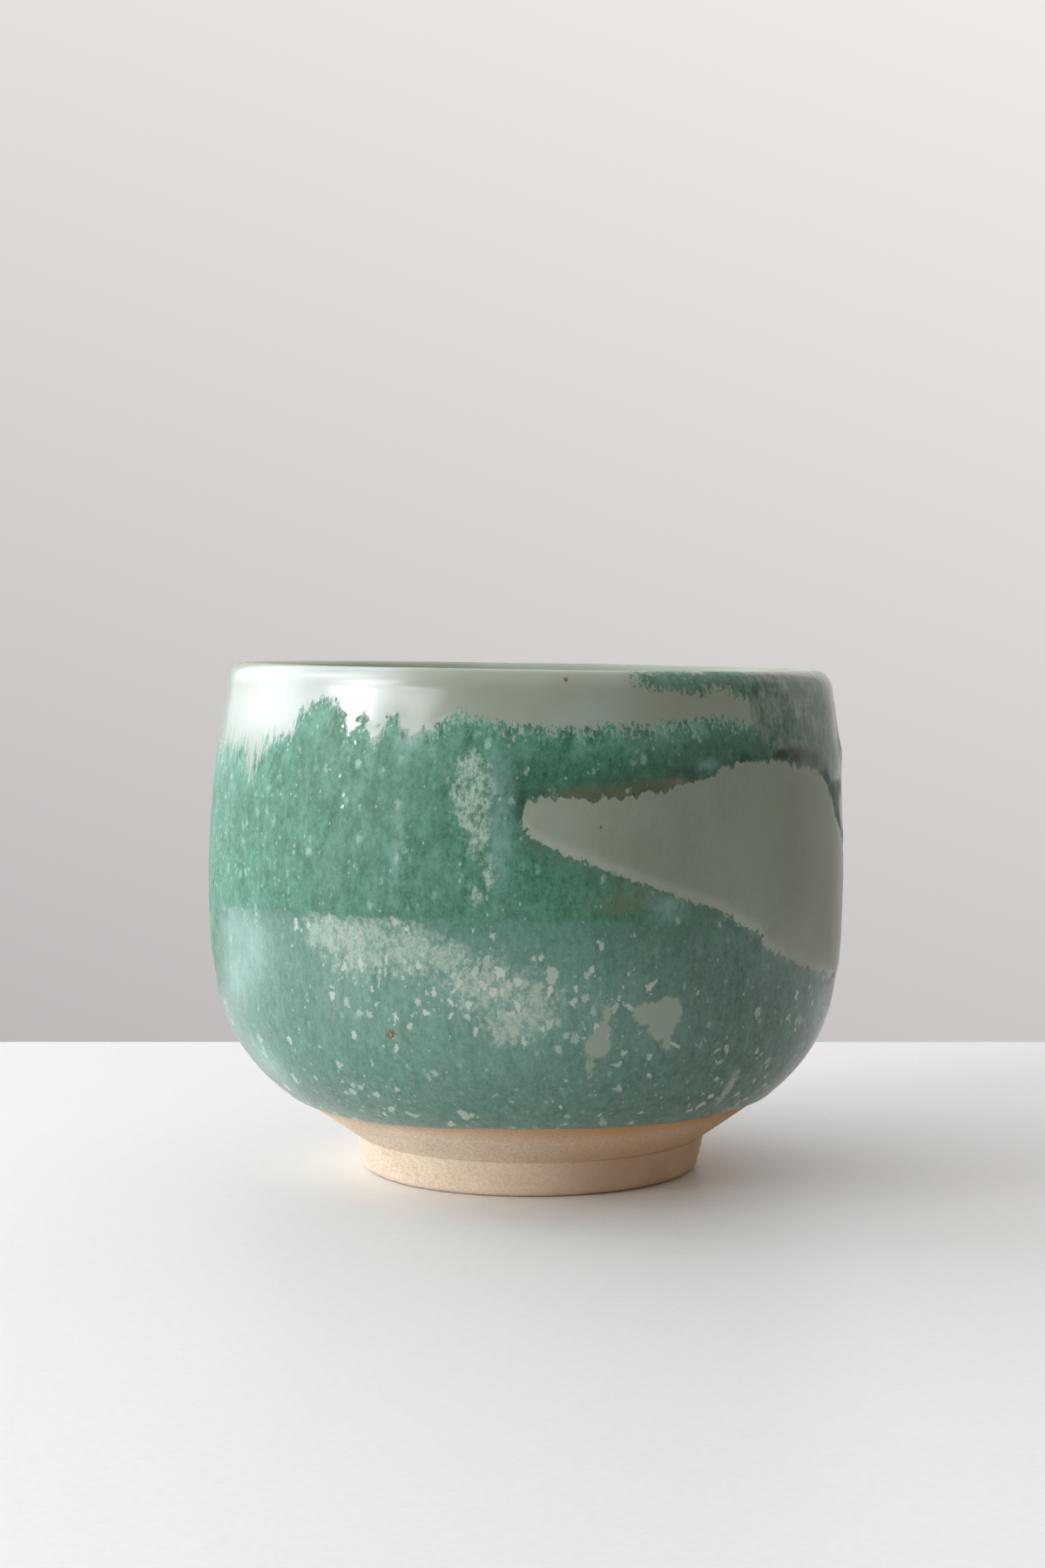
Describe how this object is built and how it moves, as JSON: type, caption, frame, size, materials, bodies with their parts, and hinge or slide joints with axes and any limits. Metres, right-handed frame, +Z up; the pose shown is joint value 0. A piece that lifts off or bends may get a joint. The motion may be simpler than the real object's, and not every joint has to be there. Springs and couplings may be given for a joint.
{
  "type": "tea cup",
  "caption": "Hand-thrown stoneware tea cup without a handle: a rounded bowl on a low foot ring, with a pale glazed lip and liner over poured green glaze.",
  "frame": {"origin": "on the table, under the middle of the belly", "axes": "+Z up along the cup's axis; -Y towards the front, the side that the picture shows; +X to the right"},
  "size_m": [0.1, 0.1, 0.0799],
  "materials": {
    "bowl_clay": "bare sandy stoneware, matt, toasted along the glaze line",
    "foot_clay": "bare sandy stoneware, matt, trimmed",
    "liner_glaze": "gloss pale celadon",
    "rim_glaze": "gloss pale celadon, streaked where it breaks over the lip",
    "upper_glaze": "gloss deep green with fine white flecks",
    "lower_glaze": "gloss blue-green with pale flakes",
    "window_glaze": "gloss pale grey-green"
  },
  "bodies": {
    "root": {"thrown_bowl": "bowl_clay", "foot_ring": "foot_clay", "liner_glaze": "liner_glaze", "rim_glaze": "rim_glaze", "upper_green_glaze": "upper_glaze", "lower_green_glaze": "lower_glaze", "window_glaze": "window_glaze"}
  },
  "joints": []
}
